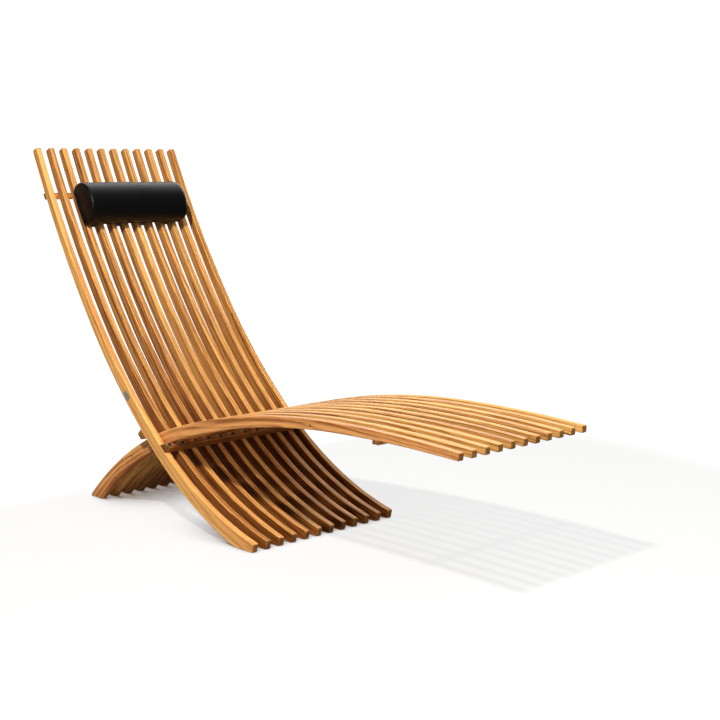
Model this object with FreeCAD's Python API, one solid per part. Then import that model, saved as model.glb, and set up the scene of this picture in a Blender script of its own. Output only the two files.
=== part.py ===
import FreeCAD
import Part
import math
import os

# Folding slatted lounger: a back frame of bowed hardwood slats and a seat frame of bowed
# slats lie in each other's gaps and turn on one hidden pivot rod. Two stop bars on the back
# frame hold the seat frame open, and a padded neck roll is strapped to the backrest.
# X runs towards the foot end, Y across the width, Z up. The origin is on the floor, under
# the middle of the lounger's length and width. All sizes are in millimetres.

# Slats
SLAT_WIDTH = 18.0
SLAT_GAP = 4.5
SLAT_PITCH = 2.0 * (SLAT_WIDTH + SLAT_GAP)
BACK_SLATS = 12
SEAT_SLATS = BACK_SLATS - 1
EDGE_RADIUS = 2.6
END_RADIUS = 4.5
MOST_ROUNDING = 0.2
HEEL_RADIUS = 40.0

# Back slats: centre line from the front foot up to the top, as (radius, length) arcs
BACK_FOOT_HEIGHT = 2.0
BACK_FOOT_HEADING = 166.7
BACK_ARCS = ((1021.0, 473.0), (1893.0, 462.0), (3098.0, 576.0))
BACK_FOOT_THICKNESS = 45.5
BACK_TOP_THICKNESS = 24.0

# Seat slats: centre line from the rear foot to the foot end, as (radius, length) arcs
SEAT_FOOT_HEADING = 46.6
SEAT_ARCS = ((1059.0, 538.0), (2339.0, 636.0), (4155.0, 404.0))
SEAT_FOOT_THICKNESS = 45.0
SEAT_END_THICKNESS = 19.5
SEAT_FOOT_CUT = 1.44
SEAT_FOOT_DEPTH = SEAT_FOOT_THICKNESS / 2.0 * math.cos(math.radians(SEAT_FOOT_HEADING)) + SEAT_FOOT_CUT

# Distance on the floor between the starts of the two centre lines
FOOT_SPREAD = 788.5

# Stop bars, one on each side of the crossing
STOP_BAR_DEPTH = 21.0
STOP_BAR_HEIGHT = 30.0
STOP_CLEARANCE = 0.4

# Cross bars
UPPER_BAR_THICKNESS = 8.0
UPPER_BAR_HEIGHT = 19.0
UPPER_BAR_FROM_TOP = 150.0
FOOT_BAR_THICKNESS = 9.0
FOOT_BAR_WIDTH = 22.0
FOOT_BAR_FROM_END = 260.0
BAR_EDGE_RADIUS = 1.5
BAR_GLUE_GAP = 0.05

# Pivot rod, its bores, spacers and plugs
ROD_DIAMETER = 10.0
ROD_RUNNING_CLEARANCE = 0.06
ROD_END_COVER = 5.0
SPACER_DIAMETER = 24.0
SPACER_CLEARANCE = 0.2

# Front stop bar bolts and the threaded inserts that take them
BOLT_DIAMETER = 8.0
BOLT_HEAD_MARGIN = 2.25
BOLT_HEAD_DIAMETER = SLAT_WIDTH - 2.0 * BOLT_HEAD_MARGIN
BOLT_HEAD_HEIGHT = 4.2
BOLT_HEAD_ROUNDING = 2.5
BOLT_SOCKET = 5.0
BOLT_SOCKET_DEPTH = 2.6
BOLT_LENGTH = 40.0
INSERT_MARGIN = 1.0
INSERT_DIAMETER = BOLT_HEAD_DIAMETER - 2.0 * INSERT_MARGIN
INSERT_LENGTH = 16.0

# Wood screws of the other bars
REAR_SCREW_DIAMETER = 5.0
REAR_SCREW_LENGTH = 45.0
THIN_SCREW_DIAMETER = 3.5
THIN_SCREW_LENGTH = 22.0
SCREW_HEAD_RATIO = 1.9
SCREW_TIP_RATIO = 1.5
SCREW_POINT_RADIUS = 0.2
SCREW_RECESS_DEPTH = 1.2

# Neck roll and the straps that hold it to the upper bar
ROLL_HEIGHT = 133.5
ROLL_DEPTH = 106.5
ROLL_BACK_CUT = 25.5
ROLL_LENGTH = 360.0
ROLL_OFFSET = 5.0
ROLL_NEAR_RIM = 6.5
ROLL_FAR_RIM = 20.5
ROLL_FROM_TOP = 207.5
SOFT_CLEARANCE = 0.3
STRAP_WIDTH = 20.0
STRAP_THICKNESS = 2.0
STRAP_TAIL_RISE = 7.0
STRAP_TAIL_DEPTH = 12.0
STRAP_SEAM_LOW = 15.0
STRAP_SEAM_HIGH = 40.0
STRAP_RETURN = 20.0
STRAP_GAPS = (3, 5, 7, 9)

# Bare plate on the outer face of the first back slat
PLATE_LENGTH = 25.0
PLATE_HEIGHT = 20.0
PLATE_THICKNESS = 1.0
PLATE_CORNER_RADIUS = 2.0
PLATE_ALONG = 666.0
PLATE_PIN_DIAMETER = 2.4
PLATE_PIN_LENGTH = 9.0
PLATE_PIN_FROM_END = 3.4
PLATE_PIN_PROUD = 0.5

STATIONS = 15
NEAR = 0.01
LEFT = 1.0
RIGHT = -1.0


def point(x, z, y=0.0):
    return FreeCAD.Vector(x, y, z)


def back_slat_y(index):
    return (index - (BACK_SLATS - 1) / 2.0) * SLAT_PITCH


def seat_slat_y(index):
    return (index - (SEAT_SLATS - 1) / 2.0) * SLAT_PITCH


class BowedSlat:
    """Side view of a slat: tangent arcs that all bend to the right, with a tapered thickness."""

    def __init__(self, x, z, heading, arcs, thick_start, thick_end):
        self.arcs = []
        self.length = sum(length for radius, length in arcs)
        self.thick_start = thick_start
        self.thick_end = thick_end
        angle = math.radians(heading)
        start = 0.0
        for radius, length in arcs:
            self.arcs.append((start, radius, length, x, z, angle))
            turn = angle - length / radius
            x += radius * (math.sin(angle) - math.sin(turn))
            z += radius * (math.cos(turn) - math.cos(angle))
            angle = turn
            start += length

    def centre(self, s):
        """Point and heading of the centre line at length s from its start."""
        start, radius, length, x, z, angle = self.arcs[0]
        for arc in self.arcs:
            if s >= arc[0]:
                start, radius, length, x, z, angle = arc
        turn = angle - (s - start) / radius
        x += radius * (math.sin(angle) - math.sin(turn))
        z += radius * (math.cos(turn) - math.cos(angle))
        return x, z, turn

    def thickness(self, s):
        return self.thick_start + (self.thick_end - self.thick_start) * s / self.length

    def face(self, s, side, clearance=0.0):
        """Point on the left or right face, moved outwards by the clearance."""
        x, z, angle = self.centre(s)
        reach = side * (self.thickness(s) / 2.0 + clearance)
        return point(x - math.sin(angle) * reach, z + math.cos(angle) * reach)

    def outward(self, s, side):
        """Unit vector square to the face."""
        step = 0.5
        along = self.face(s + step, side) - self.face(s - step, side)
        along.normalize()
        return point(-along.z * side, along.x * side)

    def along(self, s, side):
        """Unit vector along the face, towards the end of the slat."""
        out = self.outward(s, side)
        return point(out.z * side, -out.x * side)


def crossing(curve_a, s_a, curve_b, s_b):
    """Lengths along two curves where they cross, by stepping along both tangents."""
    step = 0.5
    for turn in range(25):
        a = curve_a(s_a)
        b = curve_b(s_b)
        along_a = (curve_a(s_a + step) - a) / step
        along_b = (curve_b(s_b + step) - b) / step
        gap = b - a
        area = along_a.x * along_b.z - along_a.z * along_b.x
        s_a += (gap.x * along_b.z - gap.z * along_b.x) / area
        s_b += (gap.x * along_a.z - gap.z * along_a.x) / area
    return s_a, s_b


def smooth_edge(points):
    curve = Part.BSplineCurve()
    curve.interpolate(points)
    return curve.toShape()


def extruded(outline, y_low, y_high):
    """Solid between two Y planes from a closed list of edges in the XZ plane."""
    face = Part.Face(Part.Wire(outline))
    face.translate(FreeCAD.Vector(0, y_low, 0))
    return face.extrude(FreeCAD.Vector(0, y_high - y_low, 0))


def polygon_edges(corners):
    return [Part.makeLine(a, b) for a, b in zip(corners, corners[1:] + corners[:1])]


def edges_along_y(solid):
    return [e for e in solid.Edges if e.BoundBox.XLength + e.BoundBox.ZLength < NEAR]


def rim_edges(solid):
    """Edges of the two flat side faces, square to Y."""
    sides = [f for f in solid.Faces if f.BoundBox.YLength < NEAR]
    return [e for side in sides for e in side.Edges]


def cylinder(base, direction, radius, length):
    return Part.makeCylinder(radius, length, base, direction)


def slat_blank(slat, foot_heel):
    """One slat with its middle at Y 0: flat foot on the floor, rounded ends and edges."""
    spots = [slat.length * i / (STATIONS - 1.0) for i in range(STATIONS)]
    left = [slat.face(s, LEFT) for s in spots]
    right = [slat.face(s, RIGHT) for s in spots]
    outline = [smooth_edge(left), Part.makeLine(left[-1], right[-1]),
               smooth_edge(right), Part.makeLine(right[0], left[0])]
    solid = extruded(outline, -SLAT_WIDTH / 2.0, SLAT_WIDTH / 2.0)
    size = 2.0 * slat.length
    above = Part.makeBox(2 * size, size, size, FreeCAD.Vector(-size, -size / 2.0, 0))
    solid = solid.common(above).Solids[0]
    heel_x = [e.BoundBox.XMin for e in edges_along_y(solid) if e.BoundBox.ZMax < NEAR]
    heel_x = min(heel_x) if foot_heel else None
    corners = [e for e in edges_along_y(solid) if e.BoundBox.ZMax > NEAR or e.BoundBox.XMin != heel_x]
    solid = solid.makeFillet(min(END_RADIUS, MOST_ROUNDING * slat.thick_end), corners).Solids[0]
    if foot_heel:
        heel = [e for e in edges_along_y(solid) if abs(e.BoundBox.XMin - heel_x) < NEAR]
        solid = solid.makeFillet(HEEL_RADIUS, heel).Solids[0]
    return solid.makeFillet(min(EDGE_RADIUS, MOST_ROUNDING * SLAT_WIDTH), rim_edges(solid)).Solids[0]


def bar(corners, y_reach):
    """Straight bar along Y with the given section, its long edges eased."""
    solid = extruded(polygon_edges(corners), -y_reach, y_reach)
    return solid.makeFillet(BAR_EDGE_RADIUS, edges_along_y(solid))


def wood_screw(head_top, direction, diameter, length):
    """Countersunk screw whose flat head lies in the surface at head_top."""
    head_radius = diameter * SCREW_HEAD_RATIO / 2.0
    head_height = head_radius - diameter / 2.0
    tip = SCREW_TIP_RATIO * diameter
    head = Part.makeCone(head_radius, diameter / 2.0, head_height, head_top, direction)
    shank = cylinder(head_top + direction * head_height, direction, diameter / 2.0,
                     length - head_height - tip)
    end = Part.makeCone(diameter / 2.0, SCREW_POINT_RADIUS, tip,
                        head_top + direction * (length - tip), direction)
    screw = head.fuse([shank, end]).removeSplitter()
    recess = Part.makeBox(head_radius, head_radius / 4.0, 2.0 * SCREW_RECESS_DEPTH,
                          FreeCAD.Vector(-head_radius / 2.0, -head_radius / 8.0, -SCREW_RECESS_DEPTH))
    recess = recess.fuse(recess.rotated(FreeCAD.Vector(), FreeCAD.Vector(0, 0, 1), 90))
    turn = FreeCAD.Rotation(FreeCAD.Vector(0, 0, 1), direction)
    recess.Placement = FreeCAD.Placement(head_top, turn)
    return screw.cut(recess)


def screw_hole(head_top, direction, diameter, length):
    """Space that a countersunk screw fills, open above its head."""
    head_radius = diameter * SCREW_HEAD_RATIO / 2.0
    head_height = head_radius - diameter / 2.0
    head = Part.makeCone(head_radius, diameter / 2.0, head_height, head_top, direction)
    return head.fuse(cylinder(head_top, direction, diameter / 2.0, length))


def bolt(seat, direction):
    """Button-head bolt: seat is under the head, direction runs into the wood."""
    out = direction * -1.0
    head = cylinder(seat, out, BOLT_HEAD_DIAMETER / 2.0, BOLT_HEAD_HEIGHT)
    top = [e for e in head.Edges if e.BoundBox.DiagonalLength > BOLT_HEAD_DIAMETER
           and (e.CenterOfMass - seat).dot(out) > BOLT_HEAD_HEIGHT - NEAR]
    head = head.makeFillet(min(BOLT_HEAD_ROUNDING, BOLT_SOCKET_DEPTH), top)
    corner = BOLT_SOCKET / 2.0 / math.cos(math.pi / 6.0)
    turns = [math.pi / 3.0 * i for i in range(7)]
    socket = Part.Face(Part.makePolygon([FreeCAD.Vector(corner * math.cos(turn), corner * math.sin(turn), 0)
                                         for turn in turns]))
    socket = socket.extrude(FreeCAD.Vector(0, 0, BOLT_SOCKET_DEPTH))
    turn = FreeCAD.Rotation(FreeCAD.Vector(0, 0, 1), direction)
    socket.Placement = FreeCAD.Placement(seat + out * BOLT_HEAD_HEIGHT, turn)
    shank = cylinder(seat, direction, BOLT_DIAMETER / 2.0, BOLT_LENGTH)
    return head.cut(socket).fuse(shank).removeSplitter()


def copies(shape, offsets):
    return Part.makeCompound([shape.translated(FreeCAD.Vector(0, y, 0)) for y in offsets])


def export(name, shape):
    shape.exportStep("parts/%s.step" % name)


def place_frames():
    """Both frames' side views, shifted so that X 0 is the middle of the overall length."""
    def make(shift):
        back = BowedSlat(shift + FOOT_SPREAD, BACK_FOOT_HEIGHT, BACK_FOOT_HEADING, BACK_ARCS,
                         BACK_FOOT_THICKNESS, BACK_TOP_THICKNESS)
        seat = BowedSlat(shift, -SEAT_FOOT_DEPTH, SEAT_FOOT_HEADING, SEAT_ARCS,
                         SEAT_FOOT_THICKNESS, SEAT_END_THICKNESS)
        return back, seat
    back, seat = make(0.0)
    low = back.face(back.length, LEFT).x
    high = max(seat.face(seat.length, side).x for side in (LEFT, RIGHT))
    return make(-(low + high) / 2.0)


os.makedirs("parts", exist_ok=True)
back, seat = place_frames()
back_ys = [back_slat_y(i) for i in range(BACK_SLATS)]
seat_ys = [seat_slat_y(i) for i in range(SEAT_SLATS)]
back_reach = back_ys[-1] + SLAT_WIDTH / 2.0
seat_reach = seat_ys[-1] + SLAT_WIDTH / 2.0

# Pivot: where the two centre lines cross
pivot_back, pivot_seat = crossing(lambda s: point(*back.centre(s)[:2]), back.length / 3.0,
                                  lambda s: point(*seat.centre(s)[:2]), seat.length / 4.0)
pivot = point(*back.centre(pivot_back)[:2])

# Front stop bar: on the front faces of the back slats, under the seat slats
front_s, under_s = crossing(lambda s: back.face(s, RIGHT), pivot_back,
                            lambda s: seat.face(s, RIGHT, STOP_CLEARANCE), pivot_seat)
front_corner = back.face(front_s, RIGHT)
front_foot = back.face(front_s - STOP_BAR_HEIGHT, RIGHT)
front_up = (front_corner - front_foot).normalize()
front_out = point(front_up.z, -front_up.x)
front_slope = seat.face(under_s + STOP_BAR_DEPTH, RIGHT, STOP_CLEARANCE) - front_corner
front_section = [front_corner, front_corner + front_slope * (STOP_BAR_DEPTH / front_slope.dot(front_out)),
                 front_foot + front_out * STOP_BAR_DEPTH, front_foot]
front_bar = bar(front_section, back_reach)

# Rear stop bar: on the rear faces of the back slats, over the seat slats
rear_s, over_s = crossing(lambda s: back.face(s, LEFT), pivot_back,
                          lambda s: seat.face(s, LEFT, STOP_CLEARANCE), pivot_seat)
rear_out = back.outward(rear_s + STOP_BAR_HEIGHT / 2.0, LEFT)
rear_up = back.along(rear_s + STOP_BAR_HEIGHT / 2.0, LEFT)
low_reach = STOP_BAR_DEPTH / -seat.along(over_s, LEFT).dot(rear_out)
low_middle = seat.face(over_s - low_reach / 2.0, LEFT, STOP_CLEARANCE)
low_along = seat.along(over_s - low_reach / 2.0, LEFT)
rear_touch = back.face(rear_s + STOP_BAR_HEIGHT / 2.0, LEFT)


def on_low_face(depth):
    """Point of the rear bar's lower face at a depth from the slats' rear face."""
    gap = depth - (low_middle - rear_touch).dot(rear_out)
    return low_middle + low_along * (gap / low_along.dot(rear_out))


rear_corner = on_low_face(0.0)
rear_section = [rear_corner, on_low_face(STOP_BAR_DEPTH),
                rear_corner + rear_up * STOP_BAR_HEIGHT + rear_out * STOP_BAR_DEPTH,
                rear_corner + rear_up * STOP_BAR_HEIGHT]
rear_bar = bar(rear_section, back_reach)

# Upper cross bar: on the rear faces, flat against the bow
upper_s = back.length - UPPER_BAR_FROM_TOP
upper_out = back.outward(upper_s, LEFT)
upper_along = back.along(upper_s, LEFT)
upper_touch = back.face(upper_s, LEFT)
upper_section = [upper_touch + upper_along * a + upper_out * o for a, o in (
    (-UPPER_BAR_HEIGHT / 2.0, 0.0), (-UPPER_BAR_HEIGHT / 2.0, UPPER_BAR_THICKNESS),
    (UPPER_BAR_HEIGHT / 2.0, UPPER_BAR_THICKNESS), (UPPER_BAR_HEIGHT / 2.0, 0.0))]
upper_bar = bar(upper_section, back_reach)

# Foot cross bar: under the seat slats near the foot end
foot_s = seat.length - FOOT_BAR_FROM_END
foot_out = seat.outward(foot_s, RIGHT)
foot_ends = [seat.face(foot_s + FOOT_BAR_WIDTH * half, RIGHT, BAR_GLUE_GAP) for half in (-0.5, 0.5)]
foot_section = [foot_ends[0], foot_ends[0] + foot_out * FOOT_BAR_THICKNESS,
                foot_ends[1] + foot_out * FOOT_BAR_THICKNESS, foot_ends[1]]
foot_bar = bar(foot_section, seat_reach)

# Fasteners of the bars: where each sits and which way it runs into the wood
bolt_seat = (front_section[1] + front_section[2]) / 2.0
bolt_way = front_out * -1.0
rear_screw_top = (rear_section[1] + rear_section[2]) / 2.0
rear_screw_way = rear_out * -1.0
upper_screw_top = upper_touch + upper_out * UPPER_BAR_THICKNESS
upper_screw_way = upper_out * -1.0
foot_screw_top = (foot_section[1] + foot_section[2]) / 2.0
foot_screw_way = foot_out * -1.0
insert_start = bolt_seat + bolt_way * (BOLT_LENGTH - INSERT_LENGTH)

rear_hole = screw_hole(rear_screw_top, rear_screw_way, REAR_SCREW_DIAMETER, REAR_SCREW_LENGTH)
upper_hole = screw_hole(upper_screw_top, upper_screw_way, THIN_SCREW_DIAMETER, THIN_SCREW_LENGTH)
foot_hole = screw_hole(foot_screw_top, foot_screw_way, THIN_SCREW_DIAMETER, THIN_SCREW_LENGTH)
bolt_hole = cylinder(bolt_seat, bolt_way, BOLT_DIAMETER / 2.0, BOLT_LENGTH)
insert_hole = cylinder(insert_start, bolt_way, INSERT_DIAMETER / 2.0, INSERT_LENGTH)

# Bare plate and its two pins, on the outer side of the first back slat
plate_x, plate_z, plate_angle = back.centre(PLATE_ALONG)
plate = Part.makeBox(PLATE_LENGTH, PLATE_THICKNESS, PLATE_HEIGHT,
                     FreeCAD.Vector(-PLATE_LENGTH / 2.0, -PLATE_THICKNESS, -PLATE_HEIGHT / 2.0))
plate = plate.makeFillet(PLATE_CORNER_RADIUS, edges_along_y(plate))
pin_start = -PLATE_THICKNESS - PLATE_PIN_PROUD
pins = [cylinder(FreeCAD.Vector(side * (PLATE_LENGTH / 2.0 - PLATE_PIN_FROM_END), pin_start, 0),
                 FreeCAD.Vector(0, 1, 0), PLATE_PIN_DIAMETER / 2.0, PLATE_PIN_LENGTH)
        for side in (-1, 1)]
plate = plate.cut(pins)
plate_place = FreeCAD.Placement(point(plate_x, plate_z, -back_reach), FreeCAD.Rotation(
    FreeCAD.Vector(0, 1, 0), -math.degrees(plate_angle)))
for piece in [plate] + pins:
    piece.Placement = plate_place.multiply(piece.Placement)
export("side_plate", plate)
export("side_plate_pins", Part.makeCompound(pins))

# Back slats
rod_bore = cylinder(pivot - FreeCAD.Vector(0, SLAT_WIDTH, 0), FreeCAD.Vector(0, 1, 0),
                    ROD_DIAMETER / 2.0, 2 * SLAT_WIDTH)
back_slat = slat_blank(back, True).cut([rod_bore, bolt_hole, insert_hole, rear_hole, upper_hole])
for index, y in enumerate(back_ys):
    slat = back_slat.translated(FreeCAD.Vector(0, y, 0))
    if index == 0:
        slat = slat.cut(pins)
    export("back_slat_%02d" % (index + 1), slat)

# Seat slats
running_bore = cylinder(pivot - FreeCAD.Vector(0, SLAT_WIDTH, 0), FreeCAD.Vector(0, 1, 0),
                        ROD_DIAMETER / 2.0 + ROD_RUNNING_CLEARANCE, 2 * SLAT_WIDTH)
seat_slat = slat_blank(seat, False).cut([running_bore, foot_hole])
for index, y in enumerate(seat_ys):
    export("seat_slat_%02d" % (index + 1), seat_slat.translated(FreeCAD.Vector(0, y, 0)))

# Bars with their holes
export("front_stop_bar", front_bar.cut(copies(bolt_hole, back_ys)))
export("rear_stop_bar", rear_bar.cut(copies(rear_hole, back_ys)))
export("upper_cross_bar", upper_bar.cut(copies(upper_hole, back_ys)))
export("foot_cross_bar", foot_bar.cut(copies(foot_hole, seat_ys)))

# Pivot rod, wood plugs over its ends, and spacer rings between the slats
rod_reach = back_reach - ROD_END_COVER
export("pivot_rod", cylinder(pivot - FreeCAD.Vector(0, rod_reach, 0), FreeCAD.Vector(0, 1, 0),
                             ROD_DIAMETER / 2.0, 2 * rod_reach))
plug = cylinder(pivot, FreeCAD.Vector(0, 1, 0), ROD_DIAMETER / 2.0, ROD_END_COVER)
export("rod_plugs", copies(plug, (-back_reach, rod_reach)))
spacer = cylinder(pivot, FreeCAD.Vector(0, 1, 0), SPACER_DIAMETER / 2.0,
                  SLAT_GAP - SPACER_CLEARANCE)
spacer = spacer.cut(cylinder(pivot, FreeCAD.Vector(0, 1, 0), ROD_DIAMETER / 2.0, SLAT_PITCH))
spacer_ys = [y + SLAT_WIDTH / 2.0 for y in back_ys[:-1]]
spacer_ys += [y - SLAT_WIDTH / 2.0 - SLAT_GAP + SPACER_CLEARANCE for y in back_ys[1:]]
export("pivot_spacers", copies(spacer, spacer_ys))

# Fasteners
insert = cylinder(insert_start, bolt_way, INSERT_DIAMETER / 2.0, INSERT_LENGTH).cut(bolt_hole)
export("front_bar_bolts", copies(bolt(bolt_seat, bolt_way), back_ys))
export("front_bar_inserts", copies(insert, back_ys))
export("rear_bar_screws", copies(wood_screw(rear_screw_top, rear_screw_way, REAR_SCREW_DIAMETER,
                                            REAR_SCREW_LENGTH), back_ys))
export("upper_bar_screws", copies(wood_screw(upper_screw_top, upper_screw_way,
                                             THIN_SCREW_DIAMETER, THIN_SCREW_LENGTH), back_ys))
export("foot_bar_screws", copies(wood_screw(foot_screw_top, foot_screw_way,
                                            THIN_SCREW_DIAMETER, THIN_SCREW_LENGTH), seat_ys))

# Neck roll: an oval cushion, flat where it lies on the slats, with rounded rims
roll_s = back.length - ROLL_FROM_TOP
roll_half = ROLL_HEIGHT / 2.0
roll_ends = [back.face(roll_s + half, RIGHT, SOFT_CLEARANCE) for half in (-roll_half, roll_half)]
roll_up = roll_ends[1] - roll_ends[0]
roll_up.normalize()
roll_out = point(roll_up.z, -roll_up.x)
roll_base = (roll_ends[0] + roll_ends[1]) / 2.0


def roll_point(up, out, y):
    return roll_base + roll_up * up + roll_out * out + FreeCAD.Vector(0, y, 0)


def oval_arcs(inset):
    """Four tangent arcs of the oval, as (up, out, radius, start, end)."""
    long_half = ROLL_HEIGHT / 2.0 - inset
    short_half = ROLL_DEPTH / 2.0 - inset
    slope = math.atan2(short_half, long_half)
    chord = math.hypot(long_half, short_half)
    tip_radius = (chord - (long_half - short_half)) / 2.0 / math.cos(slope)
    crown_radius = (chord + (long_half - short_half)) / 2.0 / math.sin(slope)
    turn = math.degrees(math.pi / 2.0 - slope)
    middle = ROLL_DEPTH / 2.0 - ROLL_BACK_CUT
    return ((long_half - tip_radius, middle, tip_radius, -turn, turn),
            (0.0, middle + short_half - crown_radius, crown_radius, turn, 180 - turn),
            (tip_radius - long_half, middle, tip_radius, 180 - turn, 180 + turn),
            (0.0, middle + crown_radius - short_half, crown_radius, 180 + turn, 360 - turn))


def roll_section(inset, y):
    edges = []
    for up, out, radius, start, end in oval_arcs(inset):
        spots = []
        for share in (0.0, 0.5, 1.0):
            angle = math.radians(start + (end - start) * share)
            spots.append(roll_point(up + radius * math.cos(angle), out + radius * math.sin(angle), y))
        edges.append(Part.Arc(*spots).toShape())
    return Part.Wire(edges)


def rim_sections(end_y, inwards, rim):
    """Sections of a rounded rim, from the end panel to the full oval."""
    turns = [math.radians(angle) for angle in (0.0, 30.0, 60.0, 90.0)]
    return [roll_section(rim * (1 - math.sin(turn)), end_y + inwards * rim * (1 - math.cos(turn)))
            for turn in turns]


near_rim = rim_sections(ROLL_OFFSET - ROLL_LENGTH / 2.0, 1, ROLL_NEAR_RIM)
far_rim = rim_sections(ROLL_OFFSET + ROLL_LENGTH / 2.0, -1, ROLL_FAR_RIM)
roll = Part.makeLoft(near_rim, True, False).fuse([
    Part.makeLoft([near_rim[-1], far_rim[-1]], True, True), Part.makeLoft(far_rim, True, False)])
keep = Part.makeBox(2 * ROLL_HEIGHT, 2 * ROLL_LENGTH, 2 * ROLL_DEPTH,
                    FreeCAD.Vector(-ROLL_HEIGHT, -ROLL_LENGTH, 0))
keep.Placement = FreeCAD.Placement(roll_base, FreeCAD.Rotation(
    roll_up, FreeCAD.Vector(0, 1, 0), roll_out, "ZXY"))
roll = roll.common(keep)
export("neck_roll", roll.Solids[0])

# Straps: sewn to the back of the roll, up through a gap, round the upper bar, back to the
# roll and down to a tail in the gap. The path is the strap's right side, seen from the near side
strap_wrap = STRAP_THICKNESS + SOFT_CLEARANCE
strap_path = [roll_point(STRAP_SEAM_LOW, -SOFT_CLEARANCE, 0),
              roll_point(STRAP_SEAM_HIGH, -SOFT_CLEARANCE, 0),
              upper_section[3] + upper_along * strap_wrap - upper_out * STRAP_THICKNESS,
              upper_section[2] + (upper_along + upper_out) * strap_wrap,
              upper_section[1] + (upper_out - upper_along) * strap_wrap,
              upper_section[0] - upper_along * strap_wrap - upper_out * STRAP_THICKNESS,
              roll_point(-STRAP_RETURN, -strap_wrap, 0),
              roll_point(STRAP_TAIL_RISE - roll_half, -strap_wrap - STRAP_TAIL_DEPTH, 0)]


def band(path, thickness):
    """Edges of a flat band that follows a path in the XZ plane, on its left side."""
    offsets = []
    for i, spot in enumerate(path):
        before = path[max(i - 1, 0)]
        after = path[min(i + 1, len(path) - 1)]
        first = (spot - before) if i else (after - spot)
        second = (after - spot) if i < len(path) - 1 else (spot - before)
        first.normalize()
        second.normalize()
        normal = point(-first.z - second.z, first.x + second.x)
        normal.normalize()
        reach = thickness / normal.dot(point(-first.z, first.x))
        offsets.append(spot + normal * reach)
    return polygon_edges(list(path) + offsets[::-1])


strap = extruded(band(strap_path, STRAP_THICKNESS), -STRAP_WIDTH / 2.0, STRAP_WIDTH / 2.0)
for count, gap in enumerate(STRAP_GAPS):
    export("neck_strap_%d" % (count + 1), strap.translated(FreeCAD.Vector(0, seat_ys[gap - 1], 0)))

print("pivot %.2f %.2f" % (pivot.x, pivot.z))
print("overall width %.1f" % (2 * back_reach))
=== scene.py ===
import math
import random

import bmesh
import bpy
from mathutils import Matrix, Vector, noise


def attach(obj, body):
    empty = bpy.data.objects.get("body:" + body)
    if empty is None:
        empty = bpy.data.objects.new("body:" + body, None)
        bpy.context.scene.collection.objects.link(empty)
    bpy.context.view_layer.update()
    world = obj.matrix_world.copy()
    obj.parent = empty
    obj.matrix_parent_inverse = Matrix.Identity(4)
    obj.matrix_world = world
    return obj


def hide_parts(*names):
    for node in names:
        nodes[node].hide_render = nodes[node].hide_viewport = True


# Folding slatted lounger. The wood and metal pieces come with the frame and get their finishes
# here. The neck roll and its straps are modelled here. All sizes are in metres.

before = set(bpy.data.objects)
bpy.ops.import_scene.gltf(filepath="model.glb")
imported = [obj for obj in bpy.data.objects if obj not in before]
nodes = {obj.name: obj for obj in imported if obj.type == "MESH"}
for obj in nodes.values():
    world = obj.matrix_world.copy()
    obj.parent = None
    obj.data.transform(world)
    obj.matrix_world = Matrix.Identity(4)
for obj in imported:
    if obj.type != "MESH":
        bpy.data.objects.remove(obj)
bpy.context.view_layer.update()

# Slats: the same bowed centre lines as the wood has
SLAT_WIDTH = 0.018
SLAT_PITCH = 0.045
BACK_SLATS = 12
SEAT_SLATS = BACK_SLATS - 1
BACK_START = (0.17413, 0.002)
BACK_HEADING = 166.7
BACK_ARCS = ((1.021, 0.473), (1.893, 0.462), (3.098, 0.576))
BACK_THICKNESS = (0.0455, 0.024)
SEAT_START = (-0.61437, -0.0169)
SEAT_HEADING = 46.6
SEAT_ARCS = ((1.059, 0.538), (2.339, 0.636), (4.155, 0.404))
SEAT_THICKNESS = (0.045, 0.0195)

# Upper cross bar, which the straps go round
UPPER_BAR_THICKNESS = 0.008
UPPER_BAR_HEIGHT = 0.019
UPPER_BAR_FROM_TOP = 0.150

# Neck roll and straps
ROLL_HEIGHT = 0.1335
ROLL_DEPTH = 0.1065
ROLL_BACK_CUT = 0.0255
ROLL_LENGTH = 0.360
ROLL_OFFSET = 0.005
ROLL_NEAR_RIM = 0.0065
ROLL_FAR_RIM = 0.0205
ROLL_FROM_TOP = 0.2075
SOFT_CLEARANCE = 0.0003
STRAP_WIDTH = 0.020
STRAP_THICKNESS = 0.002
STRAP_TAIL_RISE = 0.007
STRAP_TAIL_DEPTH = 0.012
STRAP_SEAM_LOW = 0.015
STRAP_SEAM_HIGH = 0.040
STRAP_RETURN = 0.020
STRAP_GAPS = (3, 5, 7, 9)


class Bow:
    """Side view of a slat: tangent arcs that all bend to the right, with a tapered thickness."""

    def __init__(self, start, heading, arcs, thickness):
        self.length = sum(length for radius, length in arcs)
        self.thickness = thickness
        self.arcs = []
        x, z = start
        angle = math.radians(heading)
        begin = 0.0
        for radius, length in arcs:
            centre = (x + radius * math.sin(angle), z - radius * math.cos(angle))
            self.arcs.append((begin, radius, centre, angle))
            angle -= length / radius
            x = centre[0] - radius * math.sin(angle)
            z = centre[1] + radius * math.cos(angle)
            begin += length

    def face(self, s, side, clearance=0.0):
        """Point on the left (1) or right (-1) face at length s, moved out by the clearance."""
        begin, radius, centre, angle = [arc for arc in self.arcs if s >= arc[0]][-1]
        turn = angle - (s - begin) / radius
        share = s / self.length
        thick = self.thickness[0] + (self.thickness[1] - self.thickness[0]) * share
        reach = radius + side * (thick / 2.0 + clearance)
        return Vector((centre[0] - reach * math.sin(turn), 0.0, centre[1] + reach * math.cos(turn)))


back_bow = Bow(BACK_START, BACK_HEADING, BACK_ARCS, BACK_THICKNESS)
seat_bow = Bow(SEAT_START, SEAT_HEADING, SEAT_ARCS, SEAT_THICKNESS)


# Shader nodes

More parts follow.
